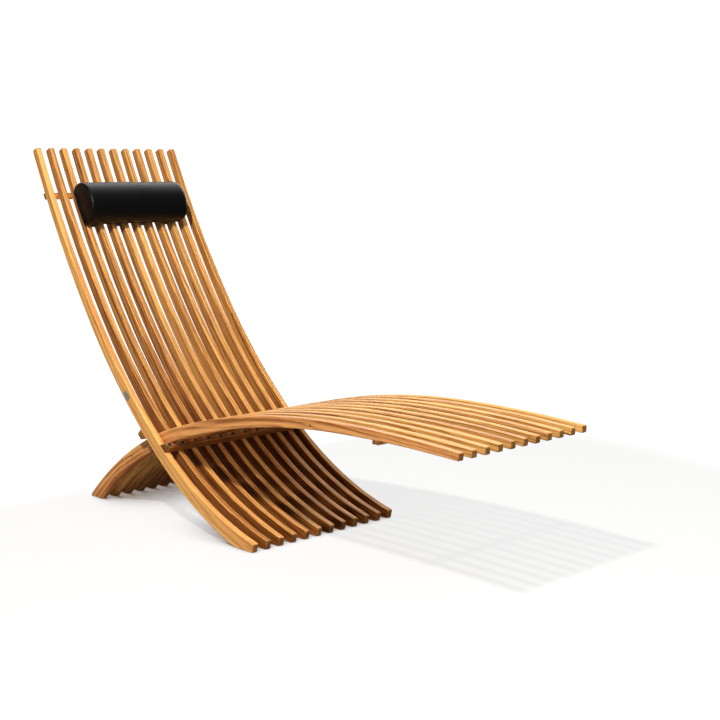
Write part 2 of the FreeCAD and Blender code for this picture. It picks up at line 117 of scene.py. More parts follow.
def put(tree, kind, inputs=None, **settings):
    """Adds a node, sets its settings, and links or sets its inputs."""
    made = tree.nodes.new(kind)
    for name, value in settings.items():
        setattr(made, name, value)
    for name, value in (inputs or {}).items():
        socket = made.inputs[name]
        if isinstance(value, bpy.types.NodeSocket):
            tree.links.new(value, socket)
        else:
            socket.default_value = value
    return made


def calc(tree, operation, *values):
    return put(tree, "ShaderNodeMath", dict(enumerate(values)), operation=operation).outputs[0]


def times(tree, a, b):
    return calc(tree, "MULTIPLY", a, b)


def plus(tree, a, b):
    return calc(tree, "ADD", a, b)


def minus(tree, a, b):
    return calc(tree, "SUBTRACT", a, b)


def times_plus(tree, a, factor, addend):
    return calc(tree, "MULTIPLY_ADD", a, factor, addend)


def length(tree, x, y, z):
    return vector_calc(tree, "LENGTH", combine(tree, x, y, z), output=1)


def vector_calc(tree, operation, *values, output=0):
    made = put(tree, "ShaderNodeVectorMath", dict(enumerate(values)), operation=operation)
    return made.outputs[output]


def combine(tree, x, y, z):
    return put(tree, "ShaderNodeCombineXYZ", {"X": x, "Y": y, "Z": z}).outputs[0]


def separate(tree, vector):
    return put(tree, "ShaderNodeSeparateXYZ", {"Vector": vector}).outputs


def remap(tree, value, low, high, new_low=0.0, new_high=1.0):
    made = put(tree, "ShaderNodeMapRange", {"Value": value, "From Min": low, "From Max": high,
                                            "To Min": new_low, "To Max": new_high},
               interpolation_type="SMOOTHSTEP")
    return made.outputs["Result"]


def blend_float(tree, factor, a, b):
    made = put(tree, "ShaderNodeMix", {0: factor, 2: a, 3: b}, data_type="FLOAT")
    return made.outputs[0]


def blend_color(tree, factor, a, b, mode="MIX"):
    made = put(tree, "ShaderNodeMix", {0: factor, 6: a, 7: b}, data_type="RGBA", blend_type=mode)
    return made.outputs[2]


def own_normal(tree):
    """Normal in the piece's own frame, so that it turns with the piece."""
    return put(tree, "ShaderNodeTexCoord").outputs["Normal"]


def speckle(tree, vector, scale, detail=2.0, roughness=0.5):
    made = put(tree, "ShaderNodeTexNoise", {"Vector": vector, "Scale": scale, "Detail": detail,
                                            "Roughness": roughness})
    return made.outputs["Fac"]


def group(name, inputs, outputs):
    """Empty node group with named sockets: (tree, its inputs by name, its output node)."""
    kinds = {"f": "NodeSocketFloat", "v": "NodeSocketVector", "c": "NodeSocketColor"}
    tree = bpy.data.node_groups.new(name, "ShaderNodeTree")
    for label, kind in inputs:
        tree.interface.new_socket(label, in_out="INPUT", socket_type=kinds[kind])
    for label, kind in outputs:
        tree.interface.new_socket(label, in_out="OUTPUT", socket_type=kinds[kind])
    return tree, tree.nodes.new("NodeGroupInput").outputs, tree.nodes.new("NodeGroupOutput")


def use(tree, made, **inputs):
    """Places a node group and gives its outputs. Underscores in names stand for spaces."""
    placed = put(tree, "ShaderNodeGroup", node_tree=made)
    for name, value in inputs.items():
        socket = placed.inputs[name.replace("_", " ")]
        if isinstance(value, bpy.types.NodeSocket):
            tree.links.new(value, socket)
        else:
            socket.default_value = value
    return placed.outputs


def send(tree, end, **outputs):
    for name, value in outputs.items():
        tree.links.new(value, end.inputs[name.replace("_", " ")])


def srgb(red, green, blue):
    """Linear colour from 0 to 255 screen values."""
    def straight(value):
        value /= 255.0
        return value / 12.92 if value <= 0.04045 else ((value + 0.055) / 1.055) ** 2.4
    return (straight(red), straight(green), straight(blue), 1.0)


END_GRAIN_FACING = (0.55, 0.8)
BAR_END_FACING = (0.6, 0.85)


def bow_group(name, bow):
    """Turns a place into length along the bow, depth from its centre line, and end grain."""
    tree, given, end = group(name, [("Vector", "v")],
                             [("Along", "f"), ("Depth", "f"), ("End Grain", "f")])
    x, y, z = separate(tree, given["Vector"])
    results = []
    for begin, radius, centre, angle in bow.arcs:
        dx = minus(tree, x, centre[0])
        dz = minus(tree, z, centre[1])
        turn = calc(tree, "ARCTAN2", times(tree, dx, -1.0), dz)
        swept = minus(tree, angle, turn)
        along = times_plus(tree, swept, radius, begin)
        reach = length(tree, dx, 0.0, dz)
        results.append((along, minus(tree, reach, radius), turn))
    along, depth, turn = results[0]
    for (next_along, next_depth, next_turn), arc in zip(results[1:], bow.arcs[1:]):
        past = calc(tree, "GREATER_THAN", along, arc[0])
        along = blend_float(tree, past, along, next_along)
        depth = blend_float(tree, past, depth, next_depth)
        turn = blend_float(tree, past, turn, next_turn)
    heading = combine(tree, calc(tree, "COSINE", turn), 0.0, calc(tree, "SINE", turn))
    normal = own_normal(tree)
    facing = calc(tree, "ABSOLUTE", vector_calc(tree, "DOT_PRODUCT", normal, heading, output=1))
    send(tree, end, Along=along, Depth=depth, End_Grain=remap(tree, facing, *END_GRAIN_FACING))
    return tree


KNOT_STRETCH = 0.55
KNOT_EDGE = (0.55, 1.15)
KNOT_PUSH = 0.9
KNOT_PUSH_FALL = 0.12


def knot_group():
    """Dark eye in the wood, and how far it pushes the grain lines aside."""
    tree, given, end = group("knot", [("Along", "f"), ("Depth", "f"), ("Knot Along", "f"),
                                      ("Knot Depth", "f"), ("Size", "f")],
                             [("Mask", "f"), ("Push", "f")])
    along = minus(tree, given["Along"], given["Knot Along"])
    depth = minus(tree, given["Depth"], given["Knot Depth"])
    near = length(tree, times(tree, along, KNOT_STRETCH), depth, 0.0)
    share = calc(tree, "DIVIDE", near, given["Size"])
    mask = remap(tree, share, *KNOT_EDGE, 1.0, 0.0)
    spread = calc(tree, "POWER", 2.718, times(tree, times(tree, share, share), -KNOT_PUSH_FALL))
    push = times(tree, times(tree, spread, given["Size"]),
                 times(tree, calc(tree, "SIGN", depth), KNOT_PUSH))
    send(tree, end, Mask=mask, Push=push)
    return tree


# Painted shade: the inner sides of the slats get a darker colour, most of all near the floor
PAINTED_SHADE_TINT = (0.44, 0.31, 0.22, 1.0)
PAINTED_SHADE_FACING = (0.6, 0.9)
PAINTED_SHADE_FROM = 0.45
PAINTED_SHADE_TO = 0.75
OUTER_SIDE = (BACK_SLATS - 1) * SLAT_PITCH / 2.0 + SLAT_WIDTH * 0.4


def painted_shade_group():
    """Painted shade: how far a face looks along the lounger's width, apart from its two outermost
    sides, times the amount.
    """
    tree, given, end = group("painted side shade", [("Vector", "v"), ("Amount", "f")], [("Shade", "f")])
    normal = separate(tree, own_normal(tree))[1]
    across = calc(tree, "ABSOLUTE", separate(tree, given["Vector"])[1])
    inside = calc(tree, "LESS_THAN", across, OUTER_SIDE)
    side = remap(tree, calc(tree, "ABSOLUTE", normal), *PAINTED_SHADE_FACING)
    shade = times(tree, times(tree, side, inside), given["Amount"])
    send(tree, end, Shade=shade)
    return tree


# How often per metre each pattern changes, along and across the grain
FIGURE_GRAIN = (1.3, 70.0)
WARP_GRAIN = (2.4, 16.0)
PATCH_GRAIN = (5.0, 60.0)
FIBRE_GRAIN = (16.0, 520.0)
PORE_GRAIN = (46.0, 1700.0)
SEED_SHIFT = 3.71
RING_WARP = 0.016
RING_SLOPE = 0.012
FIGURE_SHARE = 0.7
STREAK_SHARE = 0.95
FIBRE_SHARE = 2.0
FIBRE_LEVEL = -1.15
PORE_COLOR = srgb(92, 48, 18)
PORE_SHARE = 0.35
KNOT_COLOR = srgb(78, 38, 14)
KNOT_SHARE = 0.82
END_RING_COLOR = srgb(96, 55, 26)
END_RING_CENTRE = (0.03, 0.05)
END_RING_TURN = 3100.0
WOOD_GLOSS = 0.28
WOOD_GLOSS_TINT = (1.0, 0.84, 0.55, 1.0)


def wood_group():
    """Oiled hardwood from length along, across and depth: colour, roughness and pore height. The
    Shade input multiplies painted shade into the colour.
    """
    tree, given, end = group(
        "oiled wood",
        [("Along", "f"), ("Across", "f"), ("Depth", "f"), ("End Grain", "f"), ("Seed", "f"),
         ("Ring Tilt", "f"), ("Ring Spacing", "f"), ("Light Wood", "c"), ("Dark Wood", "c"),
         ("Streaks", "f"), ("Knot", "f"), ("Shade", "f")],
        [("Color", "c"), ("Roughness", "f"), ("Height", "f")])
    along = times_plus(tree, given["Seed"], SEED_SHIFT, given["Along"])
    across, depth = given["Across"], given["Depth"]

    def stretched(lengthwise, crosswise):
        return combine(tree, times(tree, along, lengthwise),
                       times_plus(tree, across, crosswise, given["Seed"]),
                       times(tree, depth, crosswise))

    figure = speckle(tree, stretched(*FIGURE_GRAIN), 1.0, 3.0, 0.55)
    warp = times_plus(tree, speckle(tree, stretched(*WARP_GRAIN), 1.0), RING_WARP, -RING_WARP / 2.0)
    tilt = given["Ring Tilt"]
    rings_at = plus(tree, times(tree, across, calc(tree, "COSINE", tilt)),
                    times(tree, depth, calc(tree, "SINE", tilt)))
    rings_at = plus(tree, rings_at, warp)
    rings_at = times_plus(tree, along, RING_SLOPE, rings_at)
    phase = calc(tree, "DIVIDE", rings_at, given["Ring Spacing"])
    saw = calc(tree, "FRACT", phase)
    late = times(tree, remap(tree, saw, 0.30, 0.86), remap(tree, saw, 0.9, 1.0, 1.0, 0.0))
    patches = speckle(tree, stretched(*PATCH_GRAIN), 1.0)
    late = times(tree, late, remap(tree, patches, 0.3, 0.62, 0.35, 1.0))
    fibre = speckle(tree, stretched(*FIBRE_GRAIN), 1.0, 4.0, 0.65)
    pores = remap(tree, speckle(tree, stretched(*PORE_GRAIN), 1.0, 2.0, 0.6), 0.60, 0.70)
    streak = times(tree, late, given["Streaks"])
    dark = times_plus(tree, remap(tree, figure, 0.32, 0.68), FIGURE_SHARE,
                      times(tree, streak, STREAK_SHARE))
    dark = plus(tree, dark, times_plus(tree, fibre, FIBRE_SHARE, FIBRE_LEVEL))
    dark = put(tree, "ShaderNodeClamp", {"Value": dark}).outputs[0]
    color = blend_color(tree, dark, given["Light Wood"], given["Dark Wood"])
    color = blend_color(tree, times(tree, pores, PORE_SHARE), color, PORE_COLOR)
    color = blend_color(tree, times(tree, given["Knot"], KNOT_SHARE), color, KNOT_COLOR)
    from_pith = length(tree, 0.0, plus(tree, across, END_RING_CENTRE[0]),
                       plus(tree, depth, END_RING_CENTRE[1]))
    ring_wave = calc(tree, "SINE", times(tree, from_pith, END_RING_TURN))
    end_rings = times_plus(tree, ring_wave, 0.14, 0.56)
    end_color = blend_color(tree, end_rings, color, END_RING_COLOR)
    color = blend_color(tree, given["End Grain"], color, end_color)
    # Painted shade: the colour is multiplied darker by the Shade amount
    color = blend_color(tree, given["Shade"], color, PAINTED_SHADE_TINT, "MULTIPLY")
    rough = times_plus(tree, fibre, 0.22, 0.34)
    rough = times_plus(tree, given["End Grain"], 0.15, rough)
    height = minus(tree, times(tree, fibre, 0.6), times(tree, pores, 0.8))
    height = minus(tree, height, times(tree, late, 0.15))
    send(tree, end, Color=color, Roughness=rough, Height=height)
    return tree


BACK_GRAIN = bow_group("back bow", back_bow)
PAINTED_SIDE_SHADE = painted_shade_group()
SEAT_GRAIN = bow_group("seat bow", seat_bow)
KNOT = knot_group()
OILED_WOOD = wood_group()


def material(name):
    """New material: (material, its node tree, its Principled shader, object coordinates)."""
    made = bpy.data.materials.new(name)
    made.use_nodes = True
    tree = made.node_tree
    shader = tree.nodes["Principled BSDF"]
    place = put(tree, "ShaderNodeTexCoord").outputs["Object"]
    return made, tree, shader, place


def bump(tree, shader, height, strength, distance):
    made = put(tree, "ShaderNodeBump",
               {"Height": height, "Strength": strength, "Distance": distance})
    tree.links.new(made.outputs["Normal"], shader.inputs["Normal"])


def wood_finish(tree, shader, along, across, depth, end_grain, look, knot=0.0, shade=0.0):
    light, dark, seed, tilt, spacing, streaks = look
    wood = use(tree, OILED_WOOD, Along=along, Across=across, Depth=depth, End_Grain=end_grain,
               Seed=seed, Ring_Tilt=tilt, Ring_Spacing=spacing, Light_Wood=light,
               Dark_Wood=dark, Streaks=streaks, Knot=knot, Shade=shade)
    tree.links.new(wood["Color"], shader.inputs["Base Color"])
    tree.links.new(wood["Roughness"], shader.inputs["Roughness"])
    shader.inputs["Specular IOR Level"].default_value = WOOD_GLOSS
    shader.inputs["Specular Tint"].default_value = WOOD_GLOSS_TINT
    bump(tree, shader, wood["Height"], 0.5, 0.00025)


def slat_wood(name, grain, look, knots=(), shade=(1.0, 1.0)):
    """Oiled wood whose grain follows a bow, with knots at (along, depth, size) and painted shade on
    its inner sides at the foot and further up."""
    made, tree, shader, place = material(name)
    bow = use(tree, grain, Vector=place)
    across = separate(tree, place)[1]
    depth, mask = bow["Depth"], 0.0
    for along, knot_depth, size in knots:
        eye = use(tree, KNOT, Along=bow["Along"], Depth=bow["Depth"], Knot_Along=along,
                  Knot_Depth=knot_depth, Size=size)
        depth = plus(tree, depth, eye["Push"])
        mask = plus(tree, mask, eye["Mask"])
    # Painted shade amount along the slat, full near the foot
    amount = remap(tree, bow["Along"], PAINTED_SHADE_FROM, PAINTED_SHADE_TO, *shade)
    side = use(tree, PAINTED_SIDE_SHADE, Vector=place, Amount=amount)
    wood_finish(tree, shader, bow["Along"], across, depth, bow["End Grain"], look, mask,
                side["Shade"])
    return made


def bar_wood(name, look, shade=0.0):
    """Oiled wood whose grain runs across the lounger, darkened all over by painted shade."""
    made, tree, shader, place = material(name)
    x, y, z = separate(tree, place)
    normal = separate(tree, own_normal(tree))[1]
    end_grain = remap(tree, calc(tree, "ABSOLUTE", normal), *BAR_END_FACING)
    wood_finish(tree, shader, y, x, z, end_grain, look, 0.0, shade)
    return made


WORN_METAL = srgb(120, 112, 100)


def brushed_metal(name, color, roughness, scratch_scale, metallic=1.0):
    """Metal with fine scratches and worn, duller patches."""
    made, tree, shader, place = material(name)
    fine = speckle(tree, place, scratch_scale, 3.0, 0.7)
    worn = speckle(tree, place, scratch_scale / 9.0, 2.0)
    tint = blend_color(tree, times(tree, worn, 0.5), color, WORN_METAL)
    tree.links.new(tint, shader.inputs["Base Color"])
    tree.links.new(times_plus(tree, fine, 0.25, roughness), shader.inputs["Roughness"])
    shader.inputs["Metallic"].default_value = metallic
    bump(tree, shader, fine, 0.25, 0.0001)
    return made


def dark_plastic(name):
    """Smooth moulded plastic with a faint grain."""
    made, tree, shader, place = material(name)
    fine = speckle(tree, place, 900.0, 2.0)
    tint = blend_color(tree, fine, srgb(38, 33, 29), srgb(52, 46, 40))
    tree.links.new(tint, shader.inputs["Base Color"])
    tree.links.new(times_plus(tree, fine, 0.2, 0.45), shader.inputs["Roughness"])
    bump(tree, shader, fine, 0.2, 0.0001)
    return made


def leather_group():
    """Fine pebbled grain with soft creases: colour mask, roughness and height."""
    tree, given, end = group("leather grain", [("Vector", "v"), ("Pebble Scale", "f")],
                             [("Shade", "f"), ("Roughness", "f"), ("Height", "f")])
    cells = put(tree, "ShaderNodeTexVoronoi",
                {"Vector": given["Vector"], "Scale": given["Pebble Scale"]},
                feature="DISTANCE_TO_EDGE").outputs["Distance"]
    pebble = remap(tree, cells, 0.0, 0.25)
    broad = speckle(tree, given["Vector"], 28.0, 3.0)
    fine = speckle(tree, given["Vector"], 2400.0, 2.0)
    height = times_plus(tree, fine, 0.25, pebble)
    rough = times_plus(tree, pebble, -0.06, times_plus(tree, broad, 0.12, 0.33))
    send(tree, end, Shade=times(tree, pebble, broad), Roughness=rough, Height=height)
    return tree


LEATHER_GRAIN = leather_group()
PEBBLES_PER_METRE = 760.0
LEATHER_GLOSS = 0.26


def leather(name, color, raised, bump_strength):
    """Soft pebbled leather in one colour, a little lighter on the raised grain."""
    made, tree, shader, place = material(name)
    grain = use(tree, LEATHER_GRAIN, Vector=place, Pebble_Scale=PEBBLES_PER_METRE)
    tree.links.new(blend_color(tree, grain["Shade"], color, raised), shader.inputs["Base Color"])
    tree.links.new(grain["Roughness"], shader.inputs["Roughness"])
    shader.inputs["Specular IOR Level"].default_value = LEATHER_GLOSS
    bump(tree, shader, grain["Height"], bump_strength, 0.0001)
    return made


def weave_group():
    """Ribbed webbing from a UV map in metres: shade and height."""
    tree, given, end = group("webbing weave", [("Vector", "v"), ("Pick", "f")],
                             [("Shade", "f"), ("Height", "f")])
    u, v, w = separate(tree, given["Vector"])
    turn = calc(tree, "DIVIDE", 2.0 * math.pi, given["Pick"])
    warp = calc(tree, "SINE", times(tree, v, turn))
    weft = calc(tree, "SINE", plus(tree, times(tree, u, turn),
                                   times(tree, calc(tree, "SIGN", warp), math.pi / 2.0)))
    ridge = times_plus(tree, times(tree, calc(tree, "ABSOLUTE", warp), weft), 0.5, 0.5)
    fuzz = speckle(tree, given["Vector"], 1800.0, 2.0)
    shade = times_plus(tree, fuzz, 0.4, times(tree, ridge, 0.6))
    send(tree, end, Shade=shade, Height=times_plus(tree, fuzz, 0.3, ridge))
    return tree


WEAVE = weave_group()
WEAVE_PICK = 0.0022
WEBBING_DARK = srgb(66, 66, 68)
WEBBING_LIGHT = srgb(126, 126, 128)


def webbing(name):
    """Dull woven band."""
    made, tree, shader, place = material(name)
    uv = put(tree, "ShaderNodeTexCoord").outputs["UV"]
    weave = use(tree, WEAVE, Vector=uv, Pick=WEAVE_PICK)
    tint = blend_color(tree, weave["Shade"], WEBBING_DARK, WEBBING_LIGHT)
    tree.links.new(tint, shader.inputs["Base Color"])
    shader.inputs["Roughness"].default_value = 0.85
    bump(tree, shader, weave["Height"], 0.6, 0.0003)
    return made


# Wood tones as (light, dark). Painted shade amounts on the inner sides: (near the floor, above)

WOOD_TONES = (
    (srgb(236, 174, 98), srgb(146, 84, 36)),
    (srgb(240, 180, 104), srgb(152, 90, 40)),
    (srgb(234, 170, 96), srgb(142, 80, 34)),
    (srgb(238, 176, 96), srgb(148, 86, 36)),
    (srgb(230, 166, 94), srgb(138, 78, 34)),
)

wood_draw = random.Random(7)


def draw_look(tone=None):
    """(light, dark, seed, ring tilt, ring spacing, streaks) of one piece of wood."""
    light, dark = tone or wood_draw.choice(WOOD_TONES)
    return (light, dark, wood_draw.uniform(1.0, 9.0), wood_draw.uniform(0.2, 1.3),
            wood_draw.uniform(0.0035, 0.0065), wood_draw.uniform(0.5, 1.0))


def finish_node(name, finish):
    mesh = nodes[name].data
    mesh.materials.clear()
    mesh.materials.append(finish)


SEAT_KNOTS = {1: ((0.277, 0.004, 0.0026), (1.088, -0.003, 0.0030))}
# Partly wood tone, partly painted light: the outermost back slat is paler and the outermost seat
# slat redder, setting how bright their outer sides look under the key lamp
OUTER_BACK_TONE_AND_LIGHT = (srgb(255, 192, 112), srgb(196, 120, 58))
SEAT_TONE = (srgb(244, 186, 106), srgb(158, 96, 44))
OUTER_SEAT_TONE_AND_LIGHT = (srgb(246, 174, 104), srgb(168, 100, 52))
NO_PAINTED_SHADE = (0.0, 0.0)
BACK_PAINTED_SHADE = (1.0, 0.45)
SEAT_PAINTED_SHADE = (0.0, 0.2)
# Painted shade over the whole of each bar, strongest on the front stop bar under the seat
BAR_PAINTED_SHADES = {"front_stop_bar": 0.8, "rear_stop_bar": 0.0, "upper_cross_bar": 0.5,
              "foot_cross_bar": 0.2}

for index in range(BACK_SLATS):
    name = "back_slat_%02d" % (index + 1)
    look = draw_look(None if index else OUTER_BACK_TONE_AND_LIGHT)
    finish_node(name, slat_wood(name + "_wood", BACK_GRAIN, look, shade=BACK_PAINTED_SHADE))
    if index == 0:
        finish_node("rod_plugs", slat_wood("rod_plug_wood", BACK_GRAIN, look, shade=NO_PAINTED_SHADE))
for index in range(SEAT_SLATS):
    name = "seat_slat_%02d" % (index + 1)
    knots = SEAT_KNOTS.get(index + 1, ())
    look = draw_look(SEAT_TONE if index else OUTER_SEAT_TONE_AND_LIGHT)
    shade = NO_PAINTED_SHADE if index in (0, SEAT_SLATS - 1) else SEAT_PAINTED_SHADE
    finish_node(name, slat_wood(name + "_wood", SEAT_GRAIN, look, knots, shade))
for name, shade in BAR_PAINTED_SHADES.items():
    finish_node(name, bar_wood(name + "_wood", draw_look(), shade))

steel = brushed_metal("fastener_steel", srgb(186, 184, 178), 0.32, 2600.0)
for name in ("pivot_rod", "rear_bar_screws", "upper_bar_screws", "foot_bar_screws"):
    finish_node(name, steel)


BOLT_SOCKET_SHADE_EDGE = (0.0040, 0.0052)
BOLT_SOCKET_SHADE_COLOR = srgb(8, 6, 5)
BOLT_GLOSS = 0.25
BOLT_METALLIC = 0.4


def bolt_axis():
    """A point (x, z) on the bolts' axes and the axes' angle, from the bolts' longest spread."""
    points = [vertex.co for vertex in nodes["front_bar_bolts"].data.vertices]
    x = sum(point.x for point in points) / len(points)
    z = sum(point.z for point in points) / len(points)
    xx = sum((point.x - x) ** 2 for point in points)
    zz = sum((point.z - z) ** 2 for point in points)
    xz = sum((point.x - x) * (point.z - z) for point in points)
    return x, z, 0.5 * math.atan2(2.0 * xz, xx - zz)


def bolt_steel():
    """Worn steel, with painted shade nearly black round each bolt's axis, where the socket hole is.
    """
    made = brushed_metal("bolt_steel", srgb(128, 112, 84), 0.5, 2600.0)
    tree = made.node_tree
    shader = tree.nodes["Principled BSDF"]
    px, py, pz = separate(tree, put(tree, "ShaderNodeTexCoord").outputs["Object"])
    x, z, angle = bolt_axis()
    off = minus(tree, times(tree, minus(tree, pz, z), math.cos(angle)),
                times(tree, minus(tree, px, x), math.sin(angle)))
    slot = calc(tree, "FRACT", times_plus(tree, py, 1.0 / SLAT_PITCH, BACK_SLATS / 2.0))
    aside = times(tree, minus(tree, slot, 0.5), SLAT_PITCH)
    # Painted shade of the socket hole
    socket_shade = remap(tree, length(tree, off, aside, 0.0), *BOLT_SOCKET_SHADE_EDGE, 1.0, 0.0)
    worn = shader.inputs["Base Color"].links[0].from_socket
    tree.links.new(blend_color(tree, socket_shade, worn, BOLT_SOCKET_SHADE_COLOR), shader.inputs["Base Color"])
    tree.links.new(blend_float(tree, socket_shade, BOLT_METALLIC, 0.0), shader.inputs["Metallic"])
    shader.inputs["Specular IOR Level"].default_value = BOLT_GLOSS
    return made


finish_node("front_bar_bolts", bolt_steel())
finish_node("front_bar_inserts", brushed_metal("insert_brass", srgb(196, 164, 96), 0.3, 2600.0))
plate_metal = brushed_metal("plate_metal", srgb(184, 182, 170), 0.42, 1800.0, metallic=0.35)
finish_node("side_plate", plate_metal)
finish_node("side_plate_pins", plate_metal)
finish_node("pivot_spacers", dark_plastic("spacer_plastic"))


# Meshes

def mesh_object(name, bm, finish, smooth=True):
    """Object at the origin from a bmesh, with outward faces."""
    bmesh.ops.recalc_face_normals(bm, faces=bm.faces)
    mesh = bpy.data.meshes.new(name)
    bm.to_mesh(mesh)
    bm.free()
    for polygon in mesh.polygons:
        polygon.use_smooth = smooth
    mesh.materials.append(finish)
    made = bpy.data.objects.new(name, mesh)
    bpy.context.scene.collection.objects.link(made)
    return made


# Neck roll

roll_s = back_bow.length - ROLL_FROM_TOP
roll_low = back_bow.face(roll_s - ROLL_HEIGHT / 2.0, -1, SOFT_CLEARANCE)
roll_high = back_bow.face(roll_s + ROLL_HEIGHT / 2.0, -1, SOFT_CLEARANCE)
roll_up = (roll_high - roll_low).normalized()
roll_out = Vector((roll_up.z, 0.0, -roll_up.x))
roll_base = (roll_low + roll_high) / 2.0


def roll_point(up, out, y):
    return roll_base + roll_up * up + roll_out * out + Vector((0.0, y, 0.0))


ROLL_SEGMENTS = 120
TUBE_RINGS = 56
PANEL_SHARES = (0.97, 0.88, 0.74, 0.58, 0.42, 0.28, 0.16, 0.07, 0.0)
PANEL_DOME = 0.0035
PANEL_SINK = 0.0016
SEAM_DEPTH = 0.0014
FLAT_SOFTNESS = 0.0015
PUCKER_TURNS = 7.0
PUCKER_HEIGHT = 0.0007
PUCKER_REACH = 0.012
DENT_HEIGHT = 0.0010
DENTS_PER_METRE = 12.0


def oval(turn, inset):
    """Up and out of the roll's section at an angle, inset from its outside, flat at the back."""
    up = (ROLL_HEIGHT / 2.0 - inset) * math.cos(turn)
    out = (ROLL_DEPTH / 2.0 - inset) * math.sin(turn) + ROLL_DEPTH / 2.0 - ROLL_BACK_CUT
    return up, 0.5 * (out + math.sqrt(out * out + FLAT_SOFTNESS * FLAT_SOFTNESS))


def end_rings(rim):
    """(inset, distance in from the end) of the rings from an end panel's middle to the tube."""
    rings = []
    seam = rim * 0.8
    for share in PANEL_SHARES:
        inset = seam + (ROLL_DEPTH / 2.0 - seam) * share
        rings.append((inset, PANEL_SINK - PANEL_DOME * (1.0 - (1.0 - share) ** 2)))
    rings.append((seam - 0.0003, PANEL_SINK + SEAM_DEPTH))
    rings.append((seam - 0.0008, PANEL_SINK))
    for degrees in range(10, 91, 10):
        turn = math.radians(degrees)
        if rim * (1.0 - math.sin(turn)) < seam - 0.0010:
            rings.append((rim * (1.0 - math.sin(turn)), rim * (1.0 - math.cos(turn))))
    return rings


def roll_rings():
    """(inset, y) of every ring from the near end to the far end."""
    near_y = ROLL_OFFSET - ROLL_LENGTH / 2.0
    far_y = ROLL_OFFSET + ROLL_LENGTH / 2.0
    rings = [(inset, near_y + depth) for inset, depth in end_rings(ROLL_NEAR_RIM)]
    start, stop = near_y + ROLL_NEAR_RIM, far_y - ROLL_FAR_RIM
    rings += [(0.0, start + (stop - start) * k / TUBE_RINGS) for k in range(1, TUBE_RINGS)]
    return rings + [(inset, far_y - depth) for inset, depth in reversed(end_rings(ROLL_FAR_RIM))]


def roll_mesh():
    """Rings of the section, extruded one from the other along the roll."""
    bm = bmesh.new()
    circle = bmesh.ops.create_circle(bm, cap_ends=True, segments=ROLL_SEGMENTS, radius=1.0)["verts"]
    turns = [math.atan2(vert.co.y, vert.co.x) for vert in circle]
    edges = list(bm.edges)
    rings = roll_rings()
    verts = list(circle)
    for index, (inset, y) in enumerate(rings):
        if index:
            made = bmesh.ops.extrude_edge_only(bm, edges=edges)["geom"]
            fresh = [part for part in made if isinstance(part, bmesh.types.BMVert)]
            edges = [part for part in made if isinstance(part, bmesh.types.BMEdge)
                     and part.verts[0] in fresh and part.verts[1] in fresh]
            partner = {edge.other_vert(vert): vert for vert in verts for edge in vert.link_edges}
            verts = sorted(fresh, key=lambda vert: verts.index(partner[vert]))
        for vert, turn in zip(verts, turns):
            vert.co = roll_point(*oval(turn, inset), y)
    bmesh.ops.holes_fill(bm, edges=edges)
    return bm


def soften(place):
    """Small dents of the filling and puckers beside the end seams."""
    local = place - roll_base
    up, out = local.dot(roll_up), local.dot(roll_out) - (ROLL_DEPTH / 2.0 - ROLL_BACK_CUT)
    y = local.y - ROLL_OFFSET
    if out < ROLL_BACK_CUT - ROLL_DEPTH / 2.0 + 0.004:
        return Vector()
    away = (roll_up * up + roll_out * out).normalized()
    from_end = ROLL_LENGTH / 2.0 - abs(y)
    dent = noise.noise(Vector((up, out, y * 0.6)) * DENTS_PER_METRE) * DENT_HEIGHT
    turn = math.atan2(up, out)
    pucker = noise.noise(Vector((turn * PUCKER_TURNS, math.copysign(5.0, y), 0.0))) * PUCKER_HEIGHT
    fade = math.exp(-max(from_end - 0.004, 0.0) / PUCKER_REACH)
    return away * (dent * min(from_end / 0.04, 1.0) + pucker * fade * min(from_end / 0.004, 1.0))


def neck_roll(finish):
    bm = roll_mesh()
    for vertex in bm.verts:
        vertex.co += soften(vertex.co)
    made = mesh_object("neck_roll_cover", bm, finish)
    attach(made, "back_frame")
    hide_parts("neck_roll")
    return made


black_leather = leather("black_leather", srgb(8, 8, 9), srgb(14, 14, 15), 0.35)
neck_roll(black_leather)


# Straps: a flat band that goes from the roll's back round the upper bar, back and down to a tail

upper_s = back_bow.length - UPPER_BAR_FROM_TOP
upper_touch = back_bow.face(upper_s, 1)
upper_along = (back_bow.face(upper_s + 0.0005, 1) - back_bow.face(upper_s - 0.0005, 1)).normalized()
upper_out = Vector((-upper_along.z, 0.0, upper_along.x))
CORNER_RADIUS = 0.0035
CORNER_STEPS = 6
STRAP_COLUMNS = 6


def bar_corner(along, out, gap_along, gap_out):
    return (upper_touch + upper_along * (along * UPPER_BAR_HEIGHT / 2.0 + gap_along)
            + upper_out * (out * UPPER_BAR_THICKNESS + gap_out))


def strap_route():
    """Middle line of the band, with sharp corners."""
    gap = STRAP_THICKNESS / 2.0 + SOFT_CLEARANCE
    return [roll_point(STRAP_SEAM_LOW, -gap, 0.0), roll_point(STRAP_SEAM_HIGH, -gap, 0.0),
            bar_corner(1, 0, gap, -gap), bar_corner(1, 1, gap, gap),
            bar_corner(-1, 1, -gap, gap), bar_corner(-1, 0, -gap, -gap),
            roll_point(-STRAP_RETURN, -gap, 0.0),
            roll_point(STRAP_TAIL_RISE - ROLL_HEIGHT / 2.0, -gap - STRAP_TAIL_DEPTH, 0.0)]


def rounded(route, radius):
    """The route with each corner turned into a short curve."""
    points = [route[0]]
    for before, corner, after in zip(route, route[1:], route[2:]):
        back_way = (before - corner).normalized()
        on_way = (after - corner).normalized()
        cut = min(radius, (before - corner).length * 0.45, (after - corner).length * 0.45)
        start, stop = corner + back_way * cut, corner + on_way * cut
        for step in range(CORNER_STEPS + 1):
            share = step / CORNER_STEPS
            points.append((1 - share) ** 2 * start + 2 * share * (1 - share) * corner
                          + share ** 2 * stop)
    points.append(route[-1])
    return points


